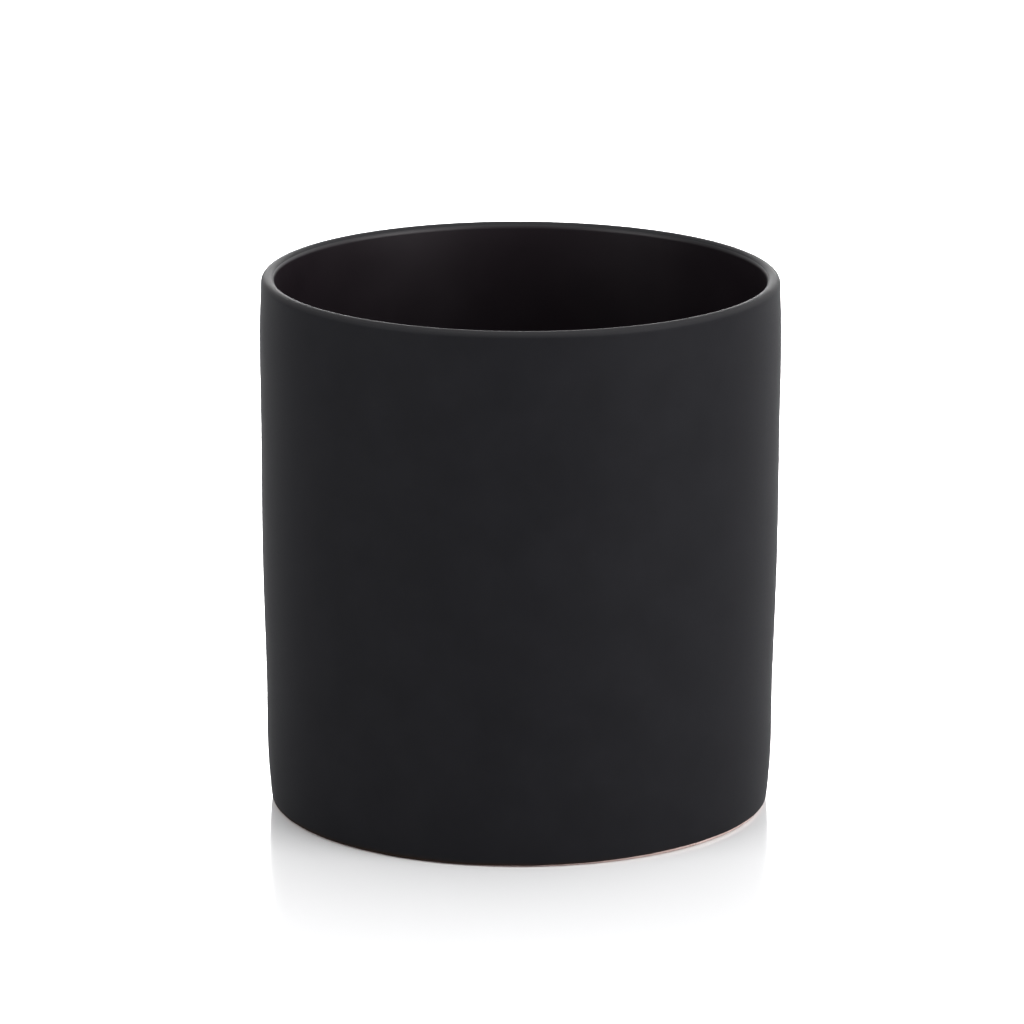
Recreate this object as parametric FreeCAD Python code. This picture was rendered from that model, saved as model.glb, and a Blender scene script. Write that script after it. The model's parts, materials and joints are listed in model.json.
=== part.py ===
import FreeCAD, Part
import math
import os

# Straight-sided candle jar: a cast stoneware shell whose outside, inside and underside
# carry separate glaze coats, with the ring that it stands on left bare.
# Millimetres, +Z up, origin at the centre of the resting face. Radii are those of the
# finished, glazed surface.

# Overall size
height = 92.0
rim_radius = 44.0
foot_radius = 42.62

# Outer wall, from the glaze line to the lip: a soft taper, then nearly straight
wall_heights = (5.5, 22.0, 42.0, 66.0, 85.0)
wall_radii = (43.08, 43.43, 43.97, 44.13, 44.21)
wall_lean = 0.12  # how fast the wall opens at the glaze line

# Lip and mouth
lip_round = 1.1
seam_angle = 140.0
mouth_radius = rim_radius - 2 * lip_round
mouth_depth = 12.0
mouth_draft = 0.05  # how far the clay behind the mouth closes over that depth

# Inside
floor_height = 5.4
floor_radius = 40.1
floor_round = 7.0

# Foot ring and the recess inside it
glaze_line = 0.4
foot_round = 0.4
recess_radius = 35.5
recess_depth = 1.4
ring_round = 0.6

# Glaze coats
glaze = 0.35

up = FreeCAD.Vector(0, 0, 1)


def point(radius, z):
    return FreeCAD.Vector(radius, 0, z)


def line(start, end):
    return Part.LineSegment(start, end).toShape()


def arc(centre, radius, first, last):
    """An arc of the section, with its angles in degrees from +X towards +Z."""

    def at(degrees):
        turn = math.radians(degrees)
        return centre + point(radius * math.cos(turn), radius * math.sin(turn))

    return Part.Arc(at(first), at((first + last) / 2), at(last)).toShape()


def smooth(points, start_way, end_way):
    curve = Part.BSplineCurve()
    curve.interpolate(Points=points, InitialTangent=start_way, FinalTangent=end_way)
    return curve.toShape()


def outer_wall(depth):
    """The outside, from the glaze line up to the lip, at a depth under the finished surface."""
    heights = (glaze_line,) + wall_heights + (height - lip_round,)
    radii = (foot_radius,) + wall_radii + (rim_radius,)
    points = [point(radius - depth, z) for radius, z in zip(radii, heights)]
    return smooth(points, point(wall_lean, 1), up)


def lip(depth, first, last):
    centre = point(rim_radius - lip_round, height - lip_round)
    return arc(centre, lip_round - depth, first, last)


def inside(depth, draft=0):
    """The mouth, inner wall and floor at a depth under the finished surface, from the lip to the axis."""
    mouth_start = point(mouth_radius + depth, height - lip_round)
    mouth_end = point(mouth_radius + depth - draft, height - lip_round - mouth_depth)
    corner = point(floor_radius - floor_round, floor_height + floor_round)
    wall_end = point(floor_radius + depth, corner.z)
    floor_start = point(corner.x, floor_height - depth)
    return [
        line(mouth_start, mouth_end),
        smooth([mouth_end, wall_end], -up, -up),
        arc(corner, floor_round + depth, 0, -90),
        line(floor_start, point(0, floor_height - depth)),
    ]


def clay_inside():
    """The clay under the inner coat. Its mouth has the mould's draft, which the glaze fills level."""
    return inside(glaze, mouth_draft)


def seam():
    """Where the outer and inner coats meet, straight across the glaze just inside the lip."""
    turn = math.radians(seam_angle)
    centre = point(rim_radius - lip_round, height - lip_round)
    way = point(math.cos(turn), math.sin(turn))
    return line(centre + way * lip_round, centre + way * (lip_round - glaze))


def turned(edges):
    """The solid that a closed section makes when it is turned about the jar's axis."""
    section = Part.Face(Part.Wire(Part.__sortEdges__(edges)))
    solid = section.revolve(FreeCAD.Vector(0, 0, 0), up, 360)
    if not solid.isValid() or len(solid.Solids) != 1:
        raise ValueError("a section did not turn into one valid solid")
    return solid.Solids[0]


def clay_body():
    """The cast shell, with its bare foot ring."""
    recess_top = recess_depth + glaze
    ring_centre = point(recess_radius + ring_round, ring_round)
    foot_centre = point(foot_radius - glaze - foot_round, foot_round)
    foot = [
        line(point(0, recess_top), point(recess_radius, recess_top)),
        line(point(recess_radius, recess_top), point(recess_radius, ring_round)),
        arc(ring_centre, ring_round, 180, 270),
        line(point(ring_centre.x, 0), point(foot_centre.x, 0)),
        arc(foot_centre, foot_round, -90, 0),
    ]
    axis = [line(point(0, floor_height - glaze), point(0, recess_top))]
    return turned(foot + [outer_wall(glaze), lip(glaze, 0, 180)] + clay_inside() + axis)


def outer_glaze():
    """The coat on the outside, from the glaze line over the lip to the seam."""
    lower_edge = line(point(foot_radius - glaze, glaze_line), point(foot_radius, glaze_line))
    return turned([
        lower_edge,
        outer_wall(0),
        lip(0, 0, seam_angle),
        seam(),
        lip(glaze, 0, seam_angle),
        outer_wall(glaze),
    ])


def inner_glaze():
    """The coat on the inside, from the seam down the wall and over the floor."""
    axis = line(point(0, floor_height), point(0, floor_height - glaze))
    lip_faces = [lip(0, seam_angle, 180), lip(glaze, seam_angle, 180)]
    return turned(lip_faces + [seam()] + inside(0) + clay_inside() + [axis])


def base_glaze():
    """The coat on the ceiling of the recess, inside the foot ring."""
    low, high = recess_depth, recess_depth + glaze
    return turned([
        line(point(0, low), point(recess_radius, low)),
        line(point(recess_radius, low), point(recess_radius, high)),
        line(point(recess_radius, high), point(0, high)),
        line(point(0, high), point(0, low)),
    ])


os.makedirs("parts", exist_ok=True)
for make in (clay_body, outer_glaze, inner_glaze, base_glaze):
    solid = make()
    solid.exportStep("parts/" + make.__name__ + ".step")
    print(make.__name__, round(solid.Volume / 1000, 2), "cm3")
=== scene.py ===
import bpy
import json
import math
from mathutils import Euler, Matrix, Vector, noise


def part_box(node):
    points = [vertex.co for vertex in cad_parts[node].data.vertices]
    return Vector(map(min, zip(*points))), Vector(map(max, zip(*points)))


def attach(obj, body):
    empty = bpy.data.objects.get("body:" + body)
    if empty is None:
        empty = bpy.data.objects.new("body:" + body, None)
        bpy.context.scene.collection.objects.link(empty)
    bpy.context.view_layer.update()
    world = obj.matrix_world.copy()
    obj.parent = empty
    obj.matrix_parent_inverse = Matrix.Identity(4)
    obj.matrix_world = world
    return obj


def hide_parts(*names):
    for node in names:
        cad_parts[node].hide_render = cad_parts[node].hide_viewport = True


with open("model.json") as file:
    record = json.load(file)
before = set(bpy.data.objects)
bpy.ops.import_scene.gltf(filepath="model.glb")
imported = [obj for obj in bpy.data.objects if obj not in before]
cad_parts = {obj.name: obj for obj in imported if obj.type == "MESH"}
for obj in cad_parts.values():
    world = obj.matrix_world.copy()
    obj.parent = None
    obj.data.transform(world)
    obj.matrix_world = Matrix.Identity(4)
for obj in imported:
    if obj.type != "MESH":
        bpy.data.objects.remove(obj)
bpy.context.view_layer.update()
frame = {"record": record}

mm = 0.001  # every length is in metres
print("frame loaded")


cameraValues = {
    "lens": 242.6,          # long, so the walls hardly converge
    "away": 1.144,
    "high": 0.3462,
    "aside": -1.37 * mm,
    "tilt": 14.5,           # degrees below the horizon
    "roll": 0.15,
    "nearest": 0.05,
    "farthest": 60,
}


def makeCamera(values):
    data = bpy.data.cameras.new("camera")
    data.lens = values["lens"]
    data.clip_start = values["nearest"]
    data.clip_end = values["farthest"]
    camera = bpy.data.objects.new("camera", data)
    look = Euler((math.radians(90 - values["tilt"]), 0, 0)).to_matrix()
    camera.rotation_euler = (look @ Matrix.Rotation(math.radians(values["roll"]), 3, "Z")).to_euler()
    camera.location = (values["aside"], -values["away"], values["high"])
    bpy.context.collection.objects.link(camera)
    bpy.context.scene.camera = camera


makeCamera(cameraValues)
print("camera placed")


# sizes that the pieces share, read from the frame
def reach(node):
    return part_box(node)[1][0]


def foot(node):
    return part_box(node)[0][2]


mouth = [m["dims"] for m in frame["record"]["mounts"] if m["name"] == "mouth"][0]
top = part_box("outer_glaze")[1][2]
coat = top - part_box("clay_body")[1][2]      # how thick the glaze is
widest = reach("outer_glaze")
glazeLine = foot("outer_glaze")
mouthRadius = mouth["r_mm"] * mm
mouthDepth = mouth["length_mm"] * mm
floorHeight = foot("inner_glaze") + coat
recessRadius = reach("base_glaze")
recessDepth = foot("base_glaze")

shapeValues = {
    "turns": 384,                 # facets round the jar
    "wallStep": 1.5 * mm,         # and how closely its section is stepped
    "flatStep": 3 * mm,
    "arcStep": 5,                 # degrees
    "sharpAngle": 50,             # edges sharper than this, in degrees, stay crisp
    "rimRadius": widest * 0.9946,
    "footRadius": widest * 0.9634,
    "wallHeights": (0.0598, 0.239, 0.4565, 0.717, 0.924),     # shares of the height
    "wallRadii": (0.9738, 0.9817, 0.9939, 0.9975, 0.9993),    # shares of the widest radius
    "wallLean": 0.12,
    "insideRadius": widest * 0.9064,
    "insideRound": 7 * mm,
    "footRound": 0.4 * mm,
    "ringRound": 0.6 * mm,
    "seamAngle": 140,             # where the two coats meet, in degrees round the lip from outside
    "outOfRound": 0.05 * mm,      # how far the fired shell strays from a true circle
    "ovalShare": 0.6,             # how much of that is an oval, the rest being uneven
    "ovalTurn": -20,              # degrees round the jar to the oval's long side
    "unevenFrom": Vector((3.1, 0, 0)),
    "trueBelow": 10 * mm,         # the straying dies away towards the foot
    "trueWithin": 20 * mm,        # and towards the middle of the floor
    "lineWave": 0.24 * mm,        # how far the glaze line rises and dips round the foot
    "lineWaveTurn": 239,          # degrees round the jar where it dips
    "lineRagged": 0.05 * mm,
    "lineRipples": ((3, 1), (11, 1), (40, 0.5)),              # how fine each is, and its share
    "lineFade": 4 * mm,           # the wall is undisturbed this far above the line
}
lipRound = (shapeValues["rimRadius"] - mouthRadius) / 2
lipCentre = (shapeValues["rimRadius"] - lipRound, top - lipRound)


def hermite(before, after, startSlope, endSlope, share, span):
    s2, s3 = share ** 2, share ** 3
    ends = (2 * s3 - 3 * s2 + 1) * before + (3 * s2 - 2 * s3) * after
    return ends + ((s3 - 2 * s2 + share) * startSlope + (s3 - s2) * endSlope) * span


def slopeAt(before, here, after):
    (z0, r0), (z1, r1), (z2, r2) = before, here, after
    return ((r1 - r0) / (z1 - z0) * (z2 - z1) + (r2 - r1) / (z2 - z1) * (z1 - z0)) / (z2 - z0)


def smoothLine(stations, startSlope, endSlope):
    # a smooth radius over height through (height, radius) stations, as (radius, height) points
    middle = [slopeAt(*three) for three in zip(stations, stations[1:], stations[2:])]
    slopes = [startSlope] + middle + [endSlope]
    line = []
    for i, ((z0, r0), (z1, r1)) in enumerate(zip(stations, stations[1:])):
        count = math.ceil(abs(z1 - z0) / shapeValues["wallStep"])
        for k in range(count):
            share = k / count
            radius = hermite(r0, r1, slopes[i], slopes[i + 1], share, z1 - z0)
            line.append((radius, z0 + (z1 - z0) * share))
    return line + [(stations[-1][1], stations[-1][0])]


def arcLine(centre, radius, first, last):
    steps = math.ceil(abs(last - first) / shapeValues["arcStep"])
    turns = [math.radians(first + (last - first) * k / steps) for k in range(steps + 1)]
    return [(centre[0] + radius * math.cos(t), centre[1] + radius * math.sin(t)) for t in turns]


def straight(start, end):
    steps = math.ceil(math.dist(start, end) / shapeValues["flatStep"])
    shares = [k / steps for k in range(steps + 1)]
    return [(start[0] + (end[0] - start[0]) * s, start[1] + (end[1] - start[1]) * s) for s in shares]


def outerWall(depth):
    # from the glaze line up to the lip, at a depth under the finished surface
    v = shapeValues
    heights = [glazeLine] + [top * share for share in v["wallHeights"]] + [lipCentre[1]]
    radii = [v["footRadius"]] + [widest * share for share in v["wallRadii"]] + [v["rimRadius"]]
    return smoothLine([(z, r - depth) for z, r in zip(heights, radii)], v["wallLean"], 0)


def lipLine(depth, first, last):
    return arcLine(lipCentre, lipRound - depth, first, last)


def insideLine(depth):
    # the mouth, the inner wall and the floor as far as the axis
    v = shapeValues
    mouthEnd = lipCentre[1] - mouthDepth
    corner = (v["insideRadius"] - v["insideRound"], floorHeight + v["insideRound"])
    land = straight((mouthRadius + depth, lipCentre[1]), (mouthRadius + depth, mouthEnd))
    wall = smoothLine([(mouthEnd, mouthRadius + depth), (corner[1], v["insideRadius"] + depth)], 0, 0)
    bend = arcLine(corner, v["insideRound"] + depth, 0, -90)
    floor = straight(bend[-1], (0, floorHeight - depth))
    return land + wall[1:] + bend[1:] + floor[1:]


def strayed(radius, z, turn):
    # the whole shell strays together, so that its coats stay in contact
    v = shapeValues
    spot = Vector((math.cos(turn), math.sin(turn), z / widest))
    oval = math.cos(2 * (turn - math.radians(v["ovalTurn"])))
    uneven = noise.noise(spot + v["unevenFrom"])
    stray = v["ovalShare"] * oval + (1 - v["ovalShare"]) * uneven
    return radius + v["outOfRound"] * stray * min(1, z / v["trueBelow"]) * min(1, radius / v["trueWithin"])


def wandered(radius, z, turn):
    # the coat's lower edge rises and dips, and follows the clay's rounded corner as it dips
    v = shapeValues
    spot = Vector((math.cos(turn), math.sin(turn), 0))
    wave = v["lineWave"] * math.cos(2 * (turn - math.radians(v["lineWaveTurn"])))
    ragged = v["lineRagged"] * sum(share * noise.noise(spot * fine) for fine, share in v["lineRipples"])
    fade = max(0, 1 - (z - glazeLine) / v["lineFade"]) ** 2
    height = z + (ragged - wave) * fade
    sunk = min(v["footRound"], max(0, v["footRound"] - height))
    return radius - v["footRound"] + math.sqrt(v["footRound"] ** 2 - sunk ** 2), height


def sponged(spot, values):
    # the foot is wiped clean by hand, which leaves it a little uneven above its resting face
    dragged = noise.noise_vector(spot / values["dragSize"]) * min(1, spot.z / values["dragFrom"])
    return spot + values["drag"] * dragged


def turnedPiece(name, section, place):
    # turns a closed section of (radius, height) points about the jar's axis
    turns = shapeValues["turns"]
    verts, rings = [], []
    for r, z in section:
        if r == 0:
            rings.append([len(verts)] * turns)
            verts.append((0, 0, z))
            continue
        rings.append(list(range(len(verts), len(verts) + turns)))
        verts += [place(r, z, 2 * math.pi * j / turns) for j in range(turns)]
    faces = []
    for a, b in zip(rings, rings[1:] + rings[:1]):
        if a[0] == a[1] and b[0] == b[1]:
            continue
        for j in range(turns):
            n = (j + 1) % turns
            faces.append(list(dict.fromkeys([a[j], a[n], b[n], b[j]])))
    mesh = bpy.data.meshes.new(name)
    mesh.from_pydata(verts, [], faces)
    mesh.polygons.foreach_set("use_smooth", [True] * len(mesh.polygons))
    mesh.set_sharp_from_angle(angle=math.radians(shapeValues["sharpAngle"]))
    piece = bpy.data.objects.new(name, mesh)
    bpy.context.collection.objects.link(piece)
    return piece


def standing(radius, z, turn):
    return Vector((radius * math.cos(turn), radius * math.sin(turn), z))


def firedSpot(radius, z, turn):
    return standing(strayed(radius, z, turn), z, turn)


def glazedSpot(radius, z, turn):
    radius, z = wandered(radius, z, turn)
    return firedSpot(radius, z, turn)


def claySpot(radius, z, turn):
    spot = firedSpot(radius, z, turn)
    return sponged(spot, clayValues) if z < glazeLine else spot


# one output of a node; sums on wires add their Math nodes
class Wire:
    def __init__(self, finish, socket):
        self.finish = finish
        self.socket = socket

    def math(self, operation, *terms):
        return self.finish.add("Math", {"operation": operation}, dict(enumerate(terms)))

    def __add__(self, other):
        return self.math("ADD", self, other)

    def __sub__(self, other):
        return self.math("SUBTRACT", self, other)

    def __rsub__(self, other):
        return self.math("SUBTRACT", other, self)

    def __mul__(self, other):
        return self.math("MULTIPLY", self, other)

    def __truediv__(self, other):
        return self.math("DIVIDE", self, other)

    __radd__ = __add__
    __rmul__ = __mul__

    def held(self):
        # kept between 0 and 1
        return self.finish.add("Clamp", {}, {"Value": self})

    def named(self, output):
        return Wire(self.finish, self.socket.node.outputs[output])


class Finish:
    def __init__(self, owner):
        owner.use_nodes = True
        self.owner = owner
        self.tree = owner.node_tree
        self.tree.nodes.clear()

    def add(self, kind, settings, values):
        # any node: its settings first, then what its sockets hold or are fed by
        node = self.tree.nodes.new("ShaderNode" + kind)
        for setting, value in settings.items():
            setattr(node, setting, value)
        for socket, value in values.items():
            if isinstance(value, Wire):
                self.tree.links.new(value.socket, node.inputs[socket])
            else:
                node.inputs[socket].default_value = value
        shown = [output for output in node.outputs if output.enabled]
        return Wire(self, shown[0]) if shown else None

    def blend(self, amount, low, high):
        # the Mix node's two colours are its sockets 6 and 7, and its mixed colour is output 2
        return self.add("Mix", {"data_type": "RGBA"}, {0: amount, 6: low, 7: high}).named(2)

    def grain(self, place, size, detail=2, rough=0.5):
        # noise with features of about a size
        values = {"Vector": place, "Scale": 1 / size, "Detail": detail, "Roughness": rough}
        return self.add("TexNoise", {}, values)

    def spread(self, wire, low, high):
        # stretched so that low to high becomes 0 to 1
        return ((wire - low) / (high - low)).held()

    def place(self):
        return self.add("TexCoord", {}, {}).named("Object")

    def height(self, place):
        return self.add("SeparateXYZ", {}, {"Vector": place}).named("Z")

    def relief(self, strength, depth, height):
        return self.add("Bump", {}, {"Strength": strength, "Distance": depth, "Height": height})

    def closed(self, values):
        surface = self.add("BsdfPrincipled", {}, values)
        self.add("OutputMaterial", {}, {"Surface": surface})
        return self.owner


# painted highlight: the colour both coats are lightened to over the top of the lip
lipHighlightValues = {
    "colour": (0.038, 0.0375, 0.0395, 1),
    "from": 1.0 * mm,        # depths under the top of the lip
    "full": 0.3 * mm,
}


def paintedLipHighlight(f, place, colour, values):
    # both coats are painted lighter over the top of the lip, a painted highlight
    thinGlazeAndLipHighlight = f.spread(f.height(place), top - values["from"], top - values["full"])
    return f.blend(thinGlazeAndLipHighlight, colour, values["colour"])


coatValues = {
    "dark": (0.0190, 0.0189, 0.0214, 1),
    "light": (0.0217, 0.0216, 0.0244, 1),
    "edge": (0.034, 0.022, 0.016, 1),     # thin glaze lets the clay warm it
    "edgeHeight": 0.8 * mm,
    "edgeWander": 0.8,
    "edgeStrength": 0.8,
    "cloud": 9 * mm,
    "cloudRange": (0.35, 0.77),
    "cloudRelief": 1.5,                   # how much deeper the cloud is than the grain
    "grain": 0.35 * mm,
    "grainDepth": 0.03 * mm,
    "uneven": 0.06,                       # how far the roughness varies
    "roughness": 0.52,
    "specular": 0.10,
    "bump": 0.10,
}


def matteGlaze(values):
    f = Finish(bpy.data.materials.new("matteGlaze"))
    place = f.place()
    cloud = f.grain(place, values["cloud"], detail=3)
    fine = f.grain(place, values["grain"])
    colour = f.blend(f.spread(cloud, *values["cloudRange"]), values["dark"], values["light"])
    # painted highlight over the lip
    colour = paintedLipHighlight(f, place, colour, lipHighlightValues)
    above = (f.height(place) - glazeLine) / values["edgeHeight"]
    thinGlazeAndLipHighlight = (1 - above + (cloud - 0.5) * values["edgeWander"]).held()
    return f.closed({
        "Base Color": f.blend(thinGlazeAndLipHighlight * thinGlazeAndLipHighlight * values["edgeStrength"], colour, values["edge"]),
        "Roughness": values["roughness"] + (cloud + fine - 1) * values["uneven"],
        "Normal": f.relief(values["bump"], values["grainDepth"], fine + cloud * values["cloudRelief"]),
        "Specular IOR Level": values["specular"],
    })


def settle(piece, node, material):
    piece.data.materials.append(material)
    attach(piece, "root")
    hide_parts(node)


def outerCoat():
    v = shapeValues
    bead = coat / 2      # the coat's lower edge is half round
    edge = arcLine((v["footRadius"] - bead, glazeLine + bead), bead, 180, 360)
    overLip = lipLine(0, 0, v["seamAngle"]) + lipLine(coat, v["seamAngle"], 0)
    section = edge + outerWall(0)[1:-1] + overLip + outerWall(coat)[-2:0:-1]
    piece = turnedPiece("outerCoat", section, glazedSpot)
    settle(piece, "outer_glaze", matteGlaze(coatValues))


outerCoat()
print("outer coat done")


liningValues = {
    "dark": (0.0178, 0.0134, 0.0166, 1),
    "light": (0.0206, 0.0157, 0.0192, 1),
    "cloud": 11 * mm,
    "cloudRange": (0.35, 0.77),
    "cloudRelief": 2,
    "grain": 0.6 * mm,
    "grainDepth": 0.03 * mm,
    "uneven": 0.12,
    "roughness": 0.42,
    "specular": 0.35,
    "bump": 0.08,
}


def linerGlaze(values):
    f = Finish(bpy.data.materials.new("linerGlaze"))
    place = f.place()
    cloud = f.grain(place, values["cloud"], detail=3)
    fine = f.grain(place, values["grain"])
    colour = f.blend(f.spread(cloud, *values["cloudRange"]), values["dark"], values["light"])
    return f.closed({
        # its colour carries the painted highlight over the lip
        "Base Color": paintedLipHighlight(f, place, colour, lipHighlightValues),
        "Roughness": values["roughness"] + (cloud - 0.5) * values["uneven"],
        "Normal": f.relief(values["bump"], values["grainDepth"], fine + cloud * values["cloudRelief"]),
        "Specular IOR Level": values["specular"],
    })


def innerCoat():
    seam = shapeValues["seamAngle"]
    face = lipLine(0, seam, 180)[:-1] + insideLine(0)
    back = insideLine(coat)[::-1] + lipLine(coat, 180, seam)[1:]
    piece = turnedPiece("innerCoat", face + back, firedSpot)
    settle(piece, "inner_glaze", linerGlaze(liningValues))


innerCoat()
print("inner coat done")


clayValues = {
    "dark": (0.40, 0.312, 0.292, 1),
    "light": (0.51, 0.42, 0.405, 1),
    "fleck": (0.27, 0.19, 0.15, 1),
    "cloud": 5 * mm,
    "cloudRange": (0.3, 0.8),
    "sand": 0.22 * mm,
    "sandDepth": 0.06 * mm,
    "fleckSize": 0.5 * mm,
    "fleckRange": (0.66, 0.743),
    "fleckStrength": 0.7,
    "uneven": 0.1,
    "roughness": 0.85,
    "specular": 0.3,
    "bump": 0.35,
    "drag": 0.015 * mm,      # how far the sponge leaves the foot uneven
    "dragSize": 1.11 * mm,
    "dragFrom": 0.3 * mm,    # height from which it is dragged in full
}


def bareClay(values):
    f = Finish(bpy.data.materials.new("bareClay"))
    place = f.place()
    cloud = f.grain(place, values["cloud"], detail=4, rough=0.6)
    sand = f.grain(place, values["sand"], detail=3, rough=0.7)
    fleck = f.spread(f.grain(place, values["fleckSize"], detail=1), *values["fleckRange"])
    colour = f.blend(f.spread(cloud, *values["cloudRange"]), values["dark"], values["light"])
    return f.closed({
        "Base Color": f.blend(fleck * values["fleckStrength"], colour, values["fleck"]),
        "Roughness": values["roughness"] + (sand - 0.5) * values["uneven"],
        "Normal": f.relief(values["bump"], values["sandDepth"], sand + cloud),
        "Specular IOR Level": values["specular"],
    })


def clayShell():
    v = shapeValues
    recessTop = recessDepth + coat
    ring = (recessRadius + v["ringRound"], v["ringRound"])
    footEnd = (v["footRadius"] - coat - v["footRound"], v["footRound"])
    under = (straight((0, recessTop), (recessRadius, recessTop))
             + straight((recessRadius, recessTop), (recessRadius, ring[1]))[1:]
             + arcLine(ring, v["ringRound"], 180, 270)[1:]
             + straight((ring[0], 0), (footEnd[0], 0))[1:]
             + arcLine(footEnd, v["footRound"], -90, 0)[1:])
    above = outerWall(coat)[1:] + lipLine(coat, 0, 180)[1:] + insideLine(coat)[1:]
    piece = turnedPiece("clayShell", under + above, claySpot)
    settle(piece, "clay_body", bareClay(clayValues))


clayShell()
print("clay shell done")


def baseCoat():
    # the coat on the ceiling of the recess, drawn down a little where it meets the ring
    r = recessRadius
    low, high, creep = recessDepth, recessDepth + coat, coat / 4
    section = (straight((0, low), (r - coat, low))
               + arcLine((r - coat, low - creep), creep, 90, 45)[1:]
               + straight((r, low - creep), (r, high))
               + straight((r, high), (0, high))[1:])
    settle(turnedPiece("baseCoat", section, firedSpot), "base_glaze", matteGlaze(coatValues))


baseCoat()
print("base coat done")


stageValues = {
    "floorRims": (0.25, 1, 4, 12),        # radii
    "floorTurns": 128,
    "floorColour": (0.79, 0.79, 0.795, 1),
    "floorRoughness": 0.12,
    "floorSpecular": 0.5,
    "farRange": (0.4, 1.6),  # the floor brightens over this distance, so that it has no horizon
    "farGlow": 0.6,
    "floorCloud": 40 * mm,
    "floorUneven": 0.01,
    "backdrop": 1.0,         # how bright the background looks
    "around": 0.4,           # how bright the surroundings are to the front and the left
    "behind": 0.85,          # how much brighter they are behind
    "toRight": 1.06,         # and to the right
    "horizon": 0.05,         # and in a narrow band along the horizon
    "horizonBand": 0.15,
}

# each softbox: its place, where it aims, its size and its power
softboxes = {
    "rightSoftbox": ((0.90, -0.62, 0.50), (0, 0, 0.05), (0.9, 0.8), 9.6),
    "leftSoftbox": ((-0.90, -0.62, 0.50), (0, 0, 0.05), (0.9, 0.8), 6.4),
    "rimSoftbox": ((0, 1.5, 0.36), (0, 0, 0.09), (0.9, 0.34), 4.9),
    "topSoftbox": ((0, 0, 1.2), (0, 0, 0.05), (1.2, 1.2), 6.4),
}


def glossyFloor(values):
    f = Finish(bpy.data.materials.new("glossyFloor"))
    place = f.place()
    cloud = f.grain(place, values["floorCloud"])
    away = f.add("VectorMath", {"operation": "LENGTH"}, {0: place})
    return f.closed({
        "Base Color": values["floorColour"],
        "Emission Color": f.blend(f.spread(away, *values["farRange"]), (0, 0, 0, 1), (1, 1, 1, 1)),
        "Emission Strength": values["farGlow"],
        "Roughness": values["floorRoughness"] + (cloud - 0.5) * values["floorUneven"],
        "Specular IOR Level": values["floorSpecular"],
    })


def makeFloor(values):
    around = values["floorTurns"]
    rims = values["floorRims"]
    turns = [2 * math.pi * k / around for k in range(around)]
    verts = [(0, 0, 0)] + [(rim * math.cos(t), rim * math.sin(t), 0) for rim in rims for t in turns]
    faces = [(0, 1 + k, 1 + (k + 1) % around) for k in range(around)]
    for ring in range(len(rims) - 1):
        a, b = 1 + ring * around, 1 + (ring + 1) * around
        faces += [(a + k, b + k, b + (k + 1) % around, a + (k + 1) % around) for k in range(around)]
    mesh = bpy.data.meshes.new("floor")
    mesh.from_pydata(verts, [], faces)
    mesh.materials.append(glossyFloor(values))
    floor = bpy.data.objects.new("floor", mesh)
    bpy.context.collection.objects.link(floor)


def softLight(name, place, target, size, power):
    data = bpy.data.lights.new(name, "AREA")
    data.shape = "RECTANGLE"
    data.size, data.size_y = size
    data.energy = power
    light = bpy.data.objects.new(name, data)
    light.location = place
    light.rotation_euler = (Vector(target) - Vector(place)).to_track_quat("-Z", "Y").to_euler()
    light.visible_camera = False
    bpy.context.collection.objects.link(light)


def makeWorld(values):
    world = bpy.data.worlds.new("studio")
    bpy.context.scene.world = world
    f = Finish(world)
    way = f.add("SeparateXYZ", {}, {"Vector": f.add("TexCoord", {}, {}).named("Generated")})
    right, back, up = [way.named(axis) for axis in "XYZ"]
    low = (1 - up * up / values["horizonBand"] ** 2).held()
    light = (1 - up * up) * values["around"] + low * values["horizon"]
    light += back.held() * back.held() * values["behind"] + right.held() * right.held() * values["toRight"]
    seen = f.add("LightPath", {}, {}).named("Is Camera Ray")
    # with plain numbers the Mix node's sockets are 2 and 3
    strength = f.add("Mix", {"data_type": "FLOAT"}, {0: seen, 2: light, 3: values["backdrop"]})
    surface = f.add("Background", {}, {"Color": (1, 1, 1, 1), "Strength": strength})
    f.add("OutputWorld", {}, {"Surface": surface})


makeFloor(stageValues)
for label, settings in softboxes.items():
    softLight(label, *settings)
makeWorld(stageValues)
bpy.context.scene.view_settings.view_transform = "Standard"
bpy.context.scene.view_settings.look = "High Contrast"
print("stage set")
